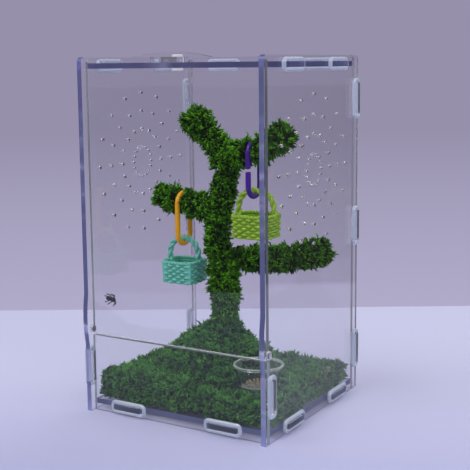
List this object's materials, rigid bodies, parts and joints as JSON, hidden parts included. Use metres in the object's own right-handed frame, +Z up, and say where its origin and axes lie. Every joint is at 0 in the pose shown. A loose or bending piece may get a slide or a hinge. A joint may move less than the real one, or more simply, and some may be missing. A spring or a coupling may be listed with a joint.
{
  "type": "spider terrarium",
  "caption": "Clear acrylic spider terrarium with fold-down front door, banded tab joints, vented sides, moss tree, hanging baskets and feeding cup.",
  "frame": {"origin": "middle of the object's overall box, on the plane that it stands on", "axes": "+Z up, the door faces -Y, +X to the right seen from the door"},
  "size_m": [0.1258, 0.1184, 0.2081],
  "materials": {
    "acrylic_sheet": "clear cast acrylic with polished faces and violet-blue cut edges",
    "silicone_band": "milky translucent silicone, smooth",
    "white_nylon": "white moulded nylon, satin",
    "armature_wire": "bare soft wire, hidden in the moss",
    "tree_moss": "bright green shaggy moss on the tree",
    "floor_moss": "green shaggy moss on the floor",
    "amber_plastic": "amber yellow moulded plastic, glossy",
    "purple_plastic": "deep purple moulded plastic, glossy",
    "teal_plastic": "teal moulded plastic with a woven surface, glossy",
    "lime_plastic": "lime moulded plastic with a woven surface, glossy",
    "clear_cup_plastic": "clear thin moulded plastic",
    "dried_food": "orange-brown dried crumbs",
    "spider_black": "black, satin"
  },
  "bodies": {
    "enclosure": {"left_side_panel": "acrylic_sheet", "right_side_panel": "acrylic_sheet", "base_panel": "acrylic_sheet", "top_panel": "acrylic_sheet", "back_panel": "acrylic_sheet", "front_lower_panel": "acrylic_sheet", "tree_foot": "acrylic_sheet", "front_base_bands": "silicone_band", "back_base_bands": "silicone_band", "back_top_bands": "silicone_band", "left_base_bands": "silicone_band", "right_base_bands": "silicone_band", "left_top_bands": "silicone_band", "right_top_bands": "silicone_band", "left_back_bands": "silicone_band", "right_back_bands": "silicone_band", "left_front_band": "silicone_band", "right_front_band": "silicone_band", "cover_rivet": "white_nylon", "tree_armature": "armature_wire", "root_mound_moss": "tree_moss", "trunk_moss": "tree_moss", "upper_left_branch_moss": "tree_moss", "upper_right_branch_moss": "tree_moss", "left_branch_moss": "tree_moss", "lower_right_branch_moss": "tree_moss", "left_moss_mat": "floor_moss", "right_moss_mat": "floor_moss"},
    "door": {"door_panel": "acrylic_sheet", "spider_figure": "spider_black"},
    "feed_cover": {"feed_port_cover": "acrylic_sheet"},
    "amber_link": {"amber_link": "amber_plastic"},
    "teal_basket": {"teal_basket": "teal_plastic"},
    "purple_link": {"purple_link": "purple_plastic"},
    "lime_basket": {"lime_basket": "lime_plastic"},
    "cup": {"feeding_cup": "clear_cup_plastic", "dried_food": "dried_food"}
  },
  "joints": [
    {"name": "door_hinge", "type": "hinge", "parent": "enclosure", "child": "door", "pos_m": [0, -0.0528, 0.0487], "axis": [1, 0, 0], "range_deg": [0, 105]},
    {"name": "feed_cover_swivel", "type": "hinge", "parent": "enclosure", "child": "feed_cover", "pos_m": [-0.018, -0.0178, 0.20265], "axis": [0, 0, 1], "continuous": true},
    {"name": "amber_link_swing", "type": "hinge", "parent": "enclosure", "child": "amber_link", "pos_m": [-0.0275, 0.0002, 0.118], "axis": [1, 0, 0], "range_deg": [-20, 20]},
    {"name": "teal_basket_sway", "type": "hinge", "parent": "amber_link", "child": "teal_basket", "pos_m": [-0.0275, 0.0002, 0.0938], "axis": [0, 1, 0], "range_deg": [-5, 15]},
    {"name": "purple_link_swing", "type": "hinge", "parent": "enclosure", "child": "purple_link", "pos_m": [0.0262, -0.0078, 0.15075], "axis": [1, 0, 0], "range_deg": [-20, 20]},
    {"name": "lime_basket_sway", "type": "hinge", "parent": "purple_link", "child": "lime_basket", "pos_m": [0.0262, -0.0078, 0.12655], "axis": [0, 1, 0], "range_deg": [-12, 12]},
    {"name": "cup_lift", "type": "slide", "parent": "enclosure", "child": "cup", "axis": [0, 0, 1], "range_m": [0, 0.03]}
  ]
}
